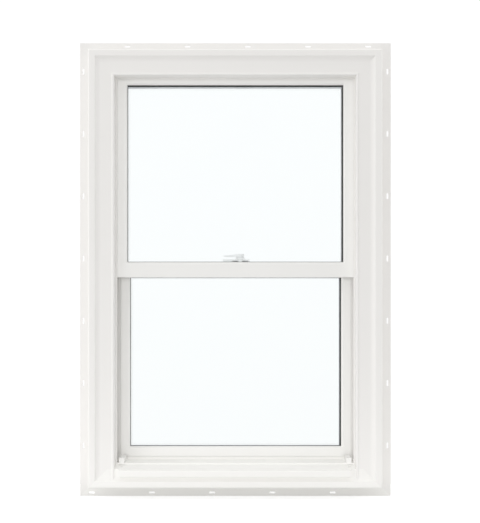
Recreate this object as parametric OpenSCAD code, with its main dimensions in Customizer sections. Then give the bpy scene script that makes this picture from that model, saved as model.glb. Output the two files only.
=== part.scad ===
// Double-hung sash window: a welded vinyl frame with an integral casing mould and a nailing fin,
// and two balanced sashes that slide past each other.
// X runs across the window, Y from outdoors (minus) to indoors (plus), and Z is up.
// The origin is on the back face of the sill's nailing fin, at the middle of its row of slots.

/* [Frame] */
// Width between the frame's outer side faces, without the fin
frame_w = 596.9; // [480:0.1:1200]
// Height between the frame's head and sill faces, without the fin
frame_h = 901.7; // [760:0.1:1500]
// Height of the meeting rails' top above the frame's underside
meet_h = 466.3; // [380:0.1:520]
// Wall of the hollow frame and sash extrusions
wall = 2; // [1.6:0.1:2.4]
// From the frame's outer face to the edge of its clear opening
reveal = 46.5; // [42:0.1:60]
// From the frame's outer face to the floor of the sash tracks
track_in = 32; // [31:0.1:38]
// From the frame's top face to the roof of the pocket that takes the upper sash
head_pocket = 21; // [14:0.1:26]

/* [Nailing fin] */
// Width of the fin beyond the frame
fin_w = 34.9; // [30:0.1:45]
// Thickness of the fin
fin_t = 2; // [1.2:0.1:3]
// From the fin's outer edge to the middle of its nail slots
nail_edge = 7; // [5:0.1:9]
// Length of a nail slot
nail_slot_l = 12.7; // [8:0.1:20]
// Width of a nail slot
nail_slot_w = 4; // [3:0.1:6]
// Pitch of the nail slots along the head and the sill
nail_pitch_x = 129.3; // [60:0.1:200]
// Pitch of the nail slots along the jambs
nail_pitch_z = 133.8; // [60:0.1:200]

/* [Casing mould] */
// How far the casing's front stands before the fin's back face
casing_front = 35; // [32:0.1:45]
// How far the casing overhangs the frame's outer face
casing_over = 11; // [6:0.1:16]
// How far the back of the overhang lies before the fin's back face
lip_back = 19; // [12:0.1:22]
// Width of the raised outer band
band_w = 15.5; // [13:0.1:22]
// Radius of the casing's outer edge
edge_r = 4; // [2:0.1:5]
// Radius of the band's inner nose
nose_r = 1.5; // [0.5:0.1:2]
// Width of the hollow cove inside the band
cove_w = 10; // [6:0.1:14]
// Depth of the cove
cove_d = 5; // [3:0.1:6]
// Small square step between the band and the cove
quirk = 1; // [0.4:0.1:1.5]
// Radius of the bead at the casing's inner edge
bead_r = 2.7; // [1.5:0.1:3]
// Width of the ledge behind the bead
ledge_w = 2.8; // [1.5:0.1:5]

/* [Sill] */
// Floor of the pocket under the lower sash, above the frame's underside
sill_pocket = 30; // [26:0.1:33]
// Floor of the outer track at the sill, above the frame's underside
sill_track = 38.5; // [36:0.1:40]
// Riser between the outer track and the sloping sill
sill_step = 3.4; // [2:0.1:5]
// Top of the lip before the lower sash, above the frame's underside
sill_lip = 43.5; // [42:0.1:46]
// Top of the indoor dam, above the frame's underside
sill_dam = 44; // [43.5:0.1:46]
// Fall of the outer slope to the nose
sill_fall = 5.9; // [3:0.1:7]
// How far the nose stands before the casing's flat
nose_out = 9; // [5:0.1:12]
// Height of the nose
nose_h = 15.4; // [10:0.1:17]
// Width of a weep slot
weep_l = 7; // [5:0.1:9]
// From the jamb to the nose's end
nose_in = 8; // [1:0.1:12]
// Width of the moulded cover over a weep slot
cover_l = 10.3; // [9.5:0.1:14]
// Height of that cover above the outer track
cover_h = 10.5; // [5:0.1:12]

/* [Sashes] */
// Thickness of a sash
sash_t = 27; // [26:0.1:30]
// Face width of the stiles and of the top and bottom rails
stile_w = 34; // [32:0.1:44]
// Face height of the upper sash's check rail
check_w = 32; // [30:0.1:40]
// Face height of the lower sash's meeting rail
meet_w = 28.5; // [28:0.1:40]
// Width of the glazing rebate, from its floor to the sight line
rebate_w = 15.5; // [14:0.1:17]
// Thickness of the outer glazing leg
leg_t = 4; // [3:0.1:5]
// Chamfer on the glazing leg
leg_chamfer = 3; // [1:0.1:3]
// Gap between the two sash planes
plane_gap = 7; // [7:0.1:10]
// Running gap between a sash and the stops
face_gap = 1.5; // [1:0.1:2]
// Running gap between a stile and its track
side_gap = 1.45; // [1:0.05:2]
// Length of the finger lift on the bottom rail
lift_l = 180; // [80:1:300]
// How far the finger lift stands out from the bottom rail
lift_out = 12; // [8:0.1:16]

/* [Glazing] */
// Thickness of a pane
pane_t = 3; // [2.2:0.1:4]
// Space between the panes
pane_gap = 10; // [8:0.1:10]
// Thickness of the glazing tape behind the leg
tape_t = 1; // [0.6:0.1:1.4]
// How far the tape shows past the sight line
tape_show = 1.2; // [0:0.1:2]
// How far the glass runs behind the sight line
glass_bite = 12; // [10:0.1:13]
// Depth of the sealed edge, from the edge of the glass
seal_h = 13.7; // [10:0.1:14]
// Height of the spacer bar within the sealed edge
spacer_h = 6.5; // [5:0.1:8]
// How far the unit is set down in its rebate
set_down = 1.8; // [0:0.1:2]
// How far the unit is set to the left in its rebate
set_left = 2; // [0:0.1:2]

/* [Balances] */
// Width of the slot in the track for the pivot bar and latch bolt
track_slot = 9; // [7:0.1:12]
// Height of the balance shoe
shoe_h = 44; // [30:1:60]
// Height of the coil housings above the frame's underside
coil_h = 510; // [500:1:620]
// Height of a coil housing
coil_box_h = 42; // [36:1:60]
// Outer radius of the spring coil
coil_r = 10.5; // [8:0.1:10.8]
// Width of the spring ribbon
ribbon_w = 14; // [8:0.1:18]
// Thickness of the spring ribbon
ribbon_t = 0.5; // [0.3:0.1:0.8]

/* [Latches and lock] */
// Travel of a tilt latch
latch_travel = 9; // [6:0.1:12]
// From the sash's outer edge to the latch's bezel
bezel_in = 38; // [36:0.1:60]
// Length of the latch's bezel
bezel_l = 37; // [34:0.1:50]
// Depth of the lock's housing across the rail
lock_d = 25.5; // [23:0.1:26]
// Height of the lock's body
lock_h = 8.5; // [7:0.1:10]
// Length of the lock's lever
lever_l = 37; // [28:0.1:45]
// Distance of the lock's spindle from the window's middle
lock_x = 10; // [0:0.1:20]
// Inner radius of the lock's cam
cam_r = 15; // [14.5:0.1:15.5]

/* [Hidden] */
// running fit between hidden pieces
fit = 0.3;
// the outer track's stop, and the stops' shares of the depth
stop_front = 12;
stop_t = 1.8;
rear_stop_t = 4.15;
// levels
sill_z = fin_w - nail_edge;
head_z = sill_z + frame_h;
half_w = frame_w / 2;
reach = half_w + fin_w;
// depth of the sash planes
upper_y = -stop_front + stop_t + 0.7;
lower_y = upper_y + sash_t + plane_gap;
part_y = upper_y + sash_t + face_gap;
part_t = plane_gap - 2 * face_gap;
rear_y = lower_y + sash_t + face_gap;
back_y = rear_y + rear_stop_t;
// casing
flat_y = quirk + cove_d - casing_front;
casing_in = reveal - ledge_w;
band_in = band_w - casing_over;
cove_r = (cove_w * cove_w + cove_d * cove_d) / (2 * cove_d);
// from the jamb's stop to a weep's cover
cover_in = 4.8;
// sashes
sash_half = half_w - track_in - side_gap;
rebate_v = stile_w - rebate_w;
rebate_low = check_w - rebate_w;
meet_z = sill_z + meet_h;
upper_top = head_z - head_pocket - 1.4;
upper_bottom = meet_z - check_w;
lower_bottom = sill_z + sill_pocket + 2;
sight_x = sash_half - stile_w;
upper_mid_y = upper_y + sash_t / 2;
lower_mid_y = lower_y + sash_t / 2;
pane1_y = leg_t + tape_t;
pane2_y = pane1_y + pane_t + pane_gap;
unit_t = 2 * pane_t + pane_gap;
unit_back = pane1_y + unit_t;
side_seal = 0.4;
mitre_gap = 0.2;
// interlocks between the meeting rails
hook_t = 1.5;
hook_up = 8;
hook_reach = 10;
hook_drop = 8.8;
hook_clear = 2;
hook_gap = 0.7;
hook_in = plane_gap - hook_clear;
hook_out = hook_clear + 2 * hook_t + hook_gap;
hook_half = half_w - reveal - 6;
// finger lift
lift_t = 2.4;
lift_h = 6;
// pile strips and bulb seal
pile_v = 3;
pile_w = 5;
pile_sink = 1.5;
groove_w = 8;
groove_d = 0.8;
bulb_r = 1.7;
bulb_wall = 0.7;
// screws
screw_r = 1.5;
screw_hole_r = 1.6;
screw_head_r = 2.7;
screw_head_h = 1.6;
// pivot bars and balances
bar_w = 6;
bar_t = 4;
bar_up = 9;
bar_seat = 8;
shoe_drop = 8;
pocket_in = wall + fit;
pocket_out = track_in - wall - fit;
upper_pocket = [stop_t - stop_front, part_y];
lower_pocket = [part_y + wall, back_y - wall];
upper_bar_z = upper_bottom + bar_up;
lower_bar_z = lower_bottom + bar_up;
coil_z = sill_z + coil_h + coil_box_h / 2;
coil_u = track_in / 2 + ribbon_t + 0.1;
ribbon_u = track_in / 2 - coil_r;
coil_cap = 8;
coil_screw_z = sill_z + coil_h + coil_box_h - coil_cap / 2;
// tilt latches, whose bolts stop just behind the track's wall
bolt_h = 5;
bolt_w = 7;
bolt_drop = 5;
bolt_out = side_gap + wall - fit;
thumb_l = 16;
thumb_w = 7;
bezel_w = 14;
bezel_rim = 4.2;
// the lock's parts, from its spindle
lock_y = lower_y + 5.5;
lock_front = lower_y + 0.5;
lock_mid_y = lock_front + lock_d / 2;
lock_low = -28;
lock_high = 30;
lock_screw_x = [lock_low - 3.5, lock_high + 4];
boss_h = 4.5;
cam_t = 3;
cam_w = 2.5;
cam_lift = 2;
cam_lead = 25;
cam_trail = 38;
spindle_r = 3;
hub_r = 8.5;
hub_h = 6.5;
arm_w = 14;
tip_r = 4.5;
flange_t = 2.2;
flange_w = 11;
flange_out = 7;
// the keeper, on the check rail's inner leg
keeper_half = 26;
keeper_t = 1.6;
keeper_y = upper_y + unit_back + 3;
keeper_w = 5.6;
keeper_lip_h = 5.4;
keeper_screw_x = [lock_x - 19, lock_x + 19];

vinyl = "#eae8e5";
vinyl_soft = "#f2f1ec";
steel = "#b9bcc0";
nylon = "#dcdcd8";
dark = "#2b2b2a";
zinc = "#efeeea";

// ---------- placing ----------

// Lays a section along X with its first axis pointing down from the top z
module along_x_down(length, z) {
    translate([0, 0, z]) rotate([0, 90, 0]) linear_extrude(length, center = true) children();
}

// Lays a section along X with its first axis pointing up from the level z
module along_x_up(length, z) {
    translate([0, 0, z]) rotate([0, -90, 0]) linear_extrude(length, center = true) children();
}

// Stands a section along Z from z0 to z1, with its first axis pointing inward from -x_out
module upright(x_out, z0, z1) {
    translate([-x_out, 0, z0]) linear_extrude(z1 - z0) children();
}

// Keeps children on the left, or mirrors them to the right
module on_side(side) {
    if (side < 0) children();
    else mirror([1, 0, 0]) children();
}

// The triangle of space, right through the depth, between the mitres of a head or top rail
module mitre_above(half, z) {
    far = half + 2 * fin_w;
    rotate([90, 0, 0]) linear_extrude(400, center = true)
        polygon([[0, z - half], [far, z - half + far], [-far, z - half + far]]);
}

// The same under the mitres of a sill or bottom rail
module mitre_below(half, z) {
    far = half + 2 * fin_w;
    rotate([90, 0, 0]) linear_extrude(400, center = true)
        polygon([[0, z + half], [far, z + half - far], [-far, z + half - far]]);
}

// A box given by its lowest and highest corners
module span_box(low, high) {
    translate(low) cube(high - low);
}

// ---------- frame sections ----------
// first axis inward from the frame's outer face, second axis to the indoors

module fin_2d() {
    translate([-fin_w, -fin_t]) square([fin_w + wall, fin_t]);
}

// Raised band and hollow cove of the casing
module band_2d() {
    translate([-casing_over, edge_r - casing_front])
        square([band_w, casing_front - edge_r - lip_back]);
    translate([edge_r - casing_over, -casing_front])
        square([band_w - edge_r - nose_r, edge_r]);
    translate([band_in - nose_r, nose_r - casing_front])
        square([nose_r, edge_r - nose_r + 0.01]);
    translate([edge_r - casing_over, edge_r - casing_front]) circle(r = edge_r, $fn = 48);
    translate([band_in - nose_r, nose_r - casing_front]) circle(r = nose_r, $fn = 24);
    difference() {
        translate([band_in - nose_r, quirk - casing_front]) square([cove_w + nose_r, cove_d]);
        translate([band_in + cove_w, flat_y - cove_r]) circle(r = cove_r, $fn = 96);
    }
}

// Band, flat and inner bead, back to the stop
module casing_2d() {
    band_2d();
    translate([0, flat_y]) square([casing_in, -stop_front - flat_y]);
    translate([casing_in - bead_r, flat_y]) circle(r = bead_r, $fn = 32);
}

module casing_chambers_2d(depth_in) {
    translate([wall - casing_over, wall - casing_front])
        square([casing_over - wall, casing_front - lip_back - 2 * wall]);
    translate([wall, flat_y + wall]) square([depth_in - 2 * wall, -stop_front - flat_y - wall]);
}

module jamb_outline_2d() {
    fin_2d();
    casing_2d();
    translate([0, -stop_front]) square([track_in, back_y + stop_front]);
    translate([0, -stop_front]) square([reveal, stop_t]);
    translate([0, part_y]) square([reveal, part_t]);
    translate([0, rear_y]) square([reveal, rear_stop_t]);
}

module jamb_2d() {
    outer_y = stop_t - stop_front;
    difference() {
        jamb_outline_2d();
        casing_chambers_2d(casing_in);
        translate([wall, outer_y]) square([track_in - 2 * wall, part_y - outer_y]);
        translate([wall, part_y + wall])
            square([track_in - 2 * wall, back_y - part_y - 2 * wall]);
        for (mid = [upper_mid_y, lower_mid_y])
            translate([track_in - wall - 1, mid - track_slot / 2]) square([wall + 2, track_slot]);
    }
}

module head_outline_2d() {
    fin_2d();
    casing_2d();
    translate([0, -stop_front]) square([head_pocket, part_y + stop_front]);
    translate([0, -stop_front]) square([reveal, stop_t]);
    translate([0, part_y]) square([track_in, back_y - part_y]);
}

module head_2d() {
    outer_y = stop_t - stop_front;
    difference() {
        head_outline_2d();
        casing_chambers_2d(casing_in);
        translate([wall, outer_y]) square([head_pocket - 2 * wall, part_y - outer_y]);
        translate([wall, part_y + wall])
            square([track_in - 2 * wall, back_y - part_y - 2 * wall]);
    }
}

// The sill's first axis points up from the frame's underside
slope_top = sill_track - sill_step;
slope_foot = slope_top - sill_fall;

module sill_outline_2d() {
    fin_2d();
    band_2d();
    polygon([
        [0, flat_y], [slope_foot, flat_y], [slope_top, -stop_front], [sill_track, -stop_front],
        [sill_track + 0.9, part_y], [sill_lip, part_y], [sill_lip, part_y + part_t],
        [sill_pocket, part_y + part_t], [sill_pocket, rear_y], [sill_dam, rear_y],
        [sill_dam, back_y], [0, back_y]
    ]);
}

module sill_2d() {
    difference() {
        sill_outline_2d();
        translate([wall - casing_over, wall - casing_front])
            square([casing_over - wall, casing_front - lip_back - 2 * wall]);
        polygon([
            [wall, flat_y + wall], [slope_foot - wall, flat_y + wall],
            [slope_top - wall, -stop_front - wall], [wall, -stop_front - wall]
        ]);
        polygon([
            [wall, -stop_front], [sill_track - wall, wall - stop_front],
            [sill_track - wall, part_y - wall], [wall, part_y - wall]
        ]);
        translate([wall, part_y]) square([sill_pocket - 2 * wall, back_y - wall - part_y]);
    }
}

// ---------- frame members ----------

// Stadium-shaped slot through the fin, lengthwise along X
module nail_slot() {
    run = nail_slot_l - nail_slot_w;
    rotate([90, 0, 0]) linear_extrude(4 * fin_t, center = true) {
        square([run, nail_slot_w], center = true);
        for (end = [-1, 1]) translate([end * run / 2, 0]) circle(d = nail_slot_w, $fn = 32);
    }
}

// Slots of a fin that runs along X, the punching starting at x0
module nail_row_x(x0, z) {
    far = reach - nail_edge - nail_slot_l;
    for (k = [-ceil(2 * far / nail_pitch_x) : ceil(2 * far / nail_pitch_x)]) {
        x = x0 + k * nail_pitch_x;
        if (abs(x) < far) translate([x, 0, z]) nail_slot();
    }
}

// Slots of a jamb's fin, the punching starting below the head
module nail_row_z(start) {
    for (z = [head_z - start : -nail_pitch_z : sill_z])
        translate([nail_edge - reach, 0, z]) rotate([0, 90, 0]) nail_slot();
}

module frame_head() {
    color(vinyl) difference() {
        intersection() {
            along_x_down(2 * reach, head_z) head_2d();
            mitre_above(half_w, head_z);
        }
        nail_row_x(26.7, head_z + fin_w - nail_edge);
    }
}

module frame_jamb(side) {
    color(vinyl) on_side(side) difference() {
        upright(half_w, sill_z - fin_w, head_z + fin_w) jamb_2d();
        intersection() {
            along_x_down(2 * reach + 2, head_z) head_outline_2d();
            mitre_above(half_w, head_z);
        }
        intersection() {
            along_x_up(2 * reach + 2, sill_z) sill_outline_2d();
            mitre_below(half_w, sill_z);
        }
        corner_cuts();
        nail_row_z(25.6);
        coil_screw_holes();
    }
}

// Clears the jamb's section beyond the mitres: all of the casing at the head, and what lies
// past the frame's faces at both ends
module corner_cuts() {
    deep = 2 * casing_front;
    top = head_z + fin_w + 1;
    intersection() {
        mitre_above(half_w, head_z);
        union() {
            span_box([-reach - 1, -deep, head_z - half_w], [half_w, stop_t - stop_front, top]);
            span_box([-reach - 1, -deep, head_z], [half_w, back_y + 1, top]);
        }
    }
    intersection() {
        mitre_below(half_w, sill_z);
        span_box([-reach - 1, -deep, sill_z - fin_w - 1], [half_w, back_y + 1, sill_z]);
    }
}

// Front view of the nose, with its lower corners rounded
module nose_front_2d() {
    half = half_w - reveal - nose_in;
    corner = 5;
    foot = sill_z + slope_foot - 1 - nose_h;
    translate([-half, foot + corner]) square([2 * half, nose_h - corner]);
    translate([corner - half, foot]) square([2 * (half - corner), corner]);
    for (end = [-1, 1]) translate([end * (half - corner), foot + corner]) circle(r = corner, $fn = 32);
}

// Section of the nose, with its front edges rounded
module nose_2d() {
    soft = 3;
    top = slope_foot - 1;
    front = flat_y - nose_out;
    translate([top - nose_h, front + soft]) square([nose_h, nose_out - soft]);
    translate([top - nose_h + soft, front]) square([nose_h - 2 * soft, soft]);
    for (s = [top - nose_h + soft, top - soft])
        translate([s, front + soft]) circle(r = soft, $fn = 32);
}

module sill_nose() {
    intersection() {
        along_x_up(frame_w, sill_z) nose_2d();
        rotate([90, 0, 0]) linear_extrude(400, center = true) nose_front_2d();
    }
}

module frame_sill() {
    weep_x = half_w - reveal - cover_in - cover_l / 2;
    color(vinyl_soft) difference() {
        union() {
            intersection() {
                along_x_up(2 * reach, sill_z) sill_2d();
                mitre_below(half_w, sill_z);
            }
            sill_nose();
        }
        for (side = [-1, 1])
            span_box(
                [side * weep_x - weep_l / 2, -stop_front - 9, sill_z + slope_foot - 4],
                [side * weep_x + weep_l / 2, -stop_front - 6.5, sill_z + sill_track]);
        nail_row_x(-49.8, 0);
    }
}

// Moulded covers over the weeps at the ends of the outer track, each with a skirt before the riser
module sill_end_blocks() {
    low = cover_in + reveal - half_w;
    top = sill_z + sill_track + cover_h;
    color(vinyl_soft) for (side = [-1, 1]) on_side(side) {
        span_box([low, -stop_front - fit, sill_z + sill_track + 0.9], [low + cover_l, part_y - 4, top]);
        span_box(
            [low, -stop_front - fit - 1.7, sill_z + slope_top + fit],
            [low + cover_l, -stop_front - fit, top]);
    }
}

// ---------- sash sections ----------
// first axis inward from the sash's outer edge, second axis from its outdoor face

module sash_outline_2d(face) {
    floor_v = face - rebate_w;
    square([floor_v, sash_t]);
    polygon([
        [floor_v - 1, 0], [face - leg_chamfer, 0], [face, leg_chamfer], [face, leg_t],
        [floor_v - 1, leg_t]
    ]);
}

module sash_2d(face) {
    difference() {
        sash_outline_2d(face);
        translate([wall, wall]) square([face - rebate_w - 2 * wall, sash_t - 2 * wall]);
    }
}

// Snap-in bead that holds the glass from indoors
module glazing_bead_2d(face) {
    floor_v = face - rebate_w;
    polygon([
        [floor_v, unit_back], [face - 1, unit_back], [face - 1, unit_back + 1.5],
        [face - 4, sash_t], [floor_v, sash_t]
    ]);
}

// The check rail's own glazing leg on the indoor side, which also carries the keeper
module inner_leg_2d() {
    translate([rebate_low - 1, unit_back]) square([rebate_w + 1, sash_t - unit_back]);
}

// Upturned hook on the check rail, and the downturned one on the meeting rail
module check_hook_2d() {
    translate([hook_up, sash_t - 0.1]) square([hook_t, hook_in + 0.1]);
    translate([hook_up, sash_t + hook_in - hook_t]) square([hook_reach, hook_t]);
}

module meeting_hook_2d() {
    translate([hook_drop, -hook_out]) square([hook_t, hook_out + 0.1]);
    translate([hook_drop, -hook_out]) square([hook_reach + hook_t, hook_t]);
}

// Kerf for a pile strip on one face of a stile
module kerf_2d(y) {
    translate([pile_v, y]) square([pile_w, pile_sink]);
}

// ---------- sash members ----------

// Hole through a stile's outer wall for a bolt or bar, at a height
module side_hole(mid_y, z, w, h) {
    span_box(
        [-sash_half - 1, mid_y - w / 2 - fit, z - h / 2 - fit],
        [-sash_half + wall + 1, mid_y + w / 2 + fit, z + h / 2 + fit]);
}

// Opening in a rail's top wall for the latch's thumb piece
module latch_slot(y) {
    for (side = [-1, 1]) on_side(side)
        span_box(
            [-sash_half + bezel_in + 4, y + sash_t / 2 - 4.5, -wall - 1],
            [-sash_half + bezel_in + bezel_l - 4, y + sash_t / 2 + 4.5, 1]);
}

module upper_top_rail() {
    color(vinyl) difference() {
        intersection() {
            along_x_down(2 * sash_half, upper_top) translate([0, upper_y]) sash_2d(stile_w);
            mitre_above(sash_half, upper_top);
        }
        translate([0, 0, upper_top]) latch_slot(upper_y);
    }
}

module upper_check_rail() {
    color(vinyl) difference() {
        union() {
            along_x_up(2 * sash_half, upper_bottom) translate([0, upper_y]) {
                sash_2d(check_w);
                inner_leg_2d();
            }
            along_x_up(2 * hook_half, upper_bottom) translate([0, upper_y]) check_hook_2d();
        }
        for (x = keeper_screw_x) translate([x, keeper_y, meet_z])
            cylinder(r = screw_hole_r, h = 24, center = true, $fn = 24);
    }
}

module upper_stile(side) {
    color(vinyl) on_side(side) difference() {
        upright(sash_half, upper_bottom, upper_top) translate([0, upper_y]) difference() {
            sash_2d(stile_w);
            kerf_2d(sash_t - pile_sink);
        }
        mitre_above(sash_half, upper_top);
        along_x_up(2 * sash_half + 2, upper_bottom) translate([0, upper_y]) {
            sash_outline_2d(check_w);
            inner_leg_2d();
        }
        side_hole(upper_mid_y, upper_top - bolt_drop, bolt_w, bolt_h);
    }
}

module lower_meeting_rail() {
    color(vinyl) difference() {
        union() {
            along_x_down(2 * sash_half, meet_z) translate([0, lower_y]) sash_2d(meet_w);
            along_x_down(2 * hook_half, meet_z) translate([0, lower_y]) meeting_hook_2d();
        }
        translate([0, 0, meet_z]) latch_slot(lower_y);
        for (x = lock_screw_x) translate([x, lock_mid_y, meet_z])
            cylinder(r = screw_hole_r, h = 3 * wall, center = true, $fn = 24);
    }
}

module lower_bottom_rail() {
    color(vinyl) {
        difference() {
            intersection() {
                along_x_up(2 * sash_half, lower_bottom) translate([0, lower_y]) sash_2d(stile_w);
                mitre_below(sash_half, lower_bottom);
            }
            span_box(
                [-sight_x, lower_mid_y - groove_w / 2, lower_bottom - 1],
                [sight_x, lower_mid_y + groove_w / 2, lower_bottom + groove_d]);
        }
        translate([0, lower_y + sash_t - 0.1, lower_bottom + rebate_v - lift_t]) lift_lip();
    }
}

// Finger lift along the indoor face: a shelf with a rounded, upturned edge
module lift_lip() {
    rotate([0, -90, 0]) linear_extrude(lift_l, center = true) {
        square([lift_t, lift_out]);
        translate([0, lift_out - lift_t]) square([lift_h, lift_t]);
        translate([lift_h, lift_out - lift_t / 2]) circle(r = lift_t / 2, $fn = 24);
    }
}

module lower_stile(side) {
    color(vinyl) on_side(side) difference() {
        upright(sash_half, lower_bottom, meet_z) translate([0, lower_y]) difference() {
            sash_2d(stile_w);
            kerf_2d(0);
        }
        mitre_below(sash_half, lower_bottom);
        along_x_down(2 * sash_half + 2, meet_z) translate([0, lower_y])
            sash_outline_2d(meet_w);
        side_hole(lower_mid_y, lower_bottom + bar_up, bar_w, bar_t);
    }
}

// ---------- glazing ----------
// each sash's sight lines: lowest and highest z

function upper_sight() = [meet_z, upper_top - stile_w];
function lower_sight() = [lower_bottom + stile_w, meet_z - meet_w];

// A flat slab set back by inset from the edge of the glass
module unit_slab(sight, y, t, inset) {
    low = [-sight_x - glass_bite + inset - set_left, y, sight[0] - glass_bite + inset - set_down];
    high = [sight_x + glass_bite - inset - set_left, y + t, sight[1] + glass_bite - inset - set_down];
    span_box(low, high);
}

module outer_pane(sight, y) {
    color("#dfe9ea", 0.5) unit_slab(sight, y + pane1_y, pane_t, 0);
}

module inner_pane(sight, y) {
    color("#dfe9ea", 0.5) unit_slab(sight, y + pane2_y, pane_t, 0);
}

module spacer(sight, y) {
    at = y + pane1_y + pane_t + side_seal;
    deep = pane_gap - 2 * side_seal;
    color(steel) difference() {
        unit_slab(sight, at, deep, seal_h - spacer_h);
        unit_slab(sight, at - 1, deep + 2, seal_h);
    }
}

module edge_seal(sight, y) {
    at = y + pane1_y + pane_t;
    color(dark) difference() {
        unit_slab(sight, at, pane_gap, 0.5);
        unit_slab(sight, at - 1, pane_gap + 2, seal_h);
        difference() {
            unit_slab(sight, at + side_seal, pane_gap - 2 * side_seal, seal_h - spacer_h);
            unit_slab(sight, at, pane_gap, seal_h + 5);
        }
    }
}

module glazing_tape(sight, y) {
    band = 9;
    color(nylon) difference() {
        span_box(
            [-sight_x - band, y + leg_t, sight[0] - band],
            [sight_x + band, y + pane1_y, sight[1] + band]);
        span_box(
            [tape_show - sight_x, y, sight[0] + tape_show],
            [sight_x - tape_show, y + sash_t, sight[1] - tape_show]);
    }
}

// Strip along the top of the glass, mitred at its ends
module top_bead(sight, y, face) {
    intersection() {
        along_x_down(2 * sash_half, sight[1] + face) translate([0, y]) glazing_bead_2d(face);
        bead_wedge(sight, 1, mitre_gap);
    }
}

// Strips up both sides of the glass, from a level to the top mitre
module side_beads(sight, y, low) {
    for (side = [-1, 1]) on_side(side) difference() {
        upright(sash_half, low, sight[1] + rebate_w) translate([0, y]) glazing_bead_2d(stile_w);
        bead_wedge(sight, 1, 0);
    }
}

module upper_glazing_beads() {
    color(vinyl) {
        top_bead(upper_sight(), upper_y, stile_w);
        side_beads(upper_sight(), upper_y, meet_z);
    }
}

module lower_glazing_beads() {
    sight = lower_sight();
    color(vinyl) {
        top_bead(sight, lower_y, meet_w);
        difference() {
            side_beads(sight, lower_y, sight[0] - rebate_w);
            bead_wedge(sight, -1, 0);
        }
        intersection() {
            along_x_up(2 * sash_half, lower_bottom) translate([0, lower_y]) glazing_bead_2d(stile_w);
            bead_wedge(sight, -1, mitre_gap);
        }
    }
}

// Space between the bead mitres at the top (up = 1) or the bottom (up = -1) of a sight opening
module bead_wedge(sight, up, inset) {
    z = (up > 0 ? sight[1] : sight[0]) + up * inset;
    far = sight_x + 60;
    rotate([90, 0, 0]) linear_extrude(400, center = true)
        polygon([[0, z - up * sight_x], [far, z + up * (far - sight_x)], [-far, z + up * (far - sight_x)]]);
}

// ---------- weather strips ----------

module pile_strips(z0, z1, y) {
    x = pile_v - sash_half;
    color("#c9c8c4") for (side = [-1, 1]) on_side(side)
        span_box([x, y, z0], [x + pile_w, y + pile_sink + face_gap - fit, z1]);
}

module upper_pile_strips() {
    pile_strips(meet_z + 1, upper_top - stile_w, upper_y + sash_t - pile_sink);
}

module lower_pile_strips() {
    pile_strips(lower_bottom + stile_w, upper_bottom - 1, lower_y - face_gap + fit);
}

// Bulb under the bottom rail: a hollow half-round below a flat foot in the rail's groove
module sill_bulb_seal() {
    color("#8f908e") along_x_up(2 * sight_x - 2, lower_bottom) translate([0, lower_mid_y]) {
        translate([0, fit - groove_w / 2]) square([groove_d, groove_w - 2 * fit]);
        difference() {
            circle(r = bulb_r, $fn = 32);
            circle(r = bulb_r - bulb_wall, $fn = 32);
            translate([0.1, -groove_w / 2]) square([groove_w, groove_w]);
        }
    }
}

// ---------- balances ----------

// Steel bar from inside a bottom corner out into the shoe
module pivot_bars(mid_y, z) {
    color(steel) for (side = [-1, 1]) on_side(side)
        span_box(
            [-half_w + bar_seat, mid_y - bar_w / 2, z - bar_t / 2],
            [-sash_half + 30, mid_y + bar_w / 2, z + bar_t / 2]);
}

// Nylon shoe in the balance pocket, with a seat for the pivot bar
module shoe(side, pocket, mid_y, z) {
    low = z - shoe_drop;
    color(nylon) on_side(side) difference() {
        span_box(
            [-half_w + pocket_in, pocket[0] + fit, low],
            [-half_w + pocket_out, pocket[1] - fit, low + shoe_h]);
        span_box(
            [-half_w + bar_seat - fit, mid_y - bar_w / 2 - fit, z - bar_t / 2 - fit],
            [-half_w + pocket_out + 1, mid_y + bar_w / 2 + fit, z + bar_t / 2 + fit]);
        translate([-half_w + track_in / 2, mid_y, z + shoe_h / 2 - 1]) rotate([90, 0, 0])
            cylinder(r = 5, h = 60, center = true, $fn = 32);
    }
}

module upper_shoe(side) {
    shoe(side, upper_pocket, upper_mid_y, upper_bar_z);
}

module lower_shoe(side) {
    shoe(side, lower_pocket, lower_mid_y, lower_bar_z);
}

// Flat spring ribbon from the shoe's top up to the coil
module ribbon(side, mid_y, z) {
    color(steel) on_side(side)
        span_box(
            [-half_w + ribbon_u, mid_y - ribbon_w / 2, z - shoe_drop + shoe_h],
            [-half_w + ribbon_u + ribbon_t, mid_y + ribbon_w / 2, coil_z]);
}

module coil(side, mid_y) {
    color(steel) on_side(side) translate([-half_w + coil_u, mid_y, coil_z]) rotate([90, 0, 0])
        difference() {
            cylinder(r = coil_r, h = ribbon_w, center = true, $fn = 64);
            cylinder(r = coil_r / 2, h = ribbon_w + 1, center = true, $fn = 48);
        }
}

// Housing open below, with a drum for the coil and a solid cap for its screw
module coil_box(side, pocket, mid_y) {
    low = sill_z + coil_h;
    color(nylon) on_side(side) difference() {
        union() {
            difference() {
                span_box(
                    [-half_w + pocket_in, pocket[0] + fit, low],
                    [-half_w + pocket_out, pocket[1] - fit, low + coil_box_h]);
                span_box(
                    [-half_w + pocket_in + 1.5, mid_y - ribbon_w / 2 - 0.5, low - 1],
                    [-half_w + pocket_out - 1.5, mid_y + ribbon_w / 2 + 0.5, low + coil_box_h - coil_cap]);
            }
            translate([-half_w + coil_u, mid_y, coil_z]) rotate([90, 0, 0])
                cylinder(r = coil_r / 2 - fit, h = ribbon_w + 2, center = true, $fn = 48);
        }
        translate([-half_w, mid_y, coil_screw_z]) rotate([0, 90, 0]) {
            cylinder(r = screw_hole_r, h = track_in, $fn = 24);
            translate([0, 0, pocket_out - screw_head_h - fit])
                cylinder(r = screw_head_r + 0.1, h = 2 * screw_head_h, $fn = 24);
        }
    }
}

module upper_coil_box(side) {
    coil_box(side, upper_pocket, upper_mid_y);
}

module lower_coil_box(side) {
    coil_box(side, lower_pocket, lower_mid_y);
}

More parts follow.
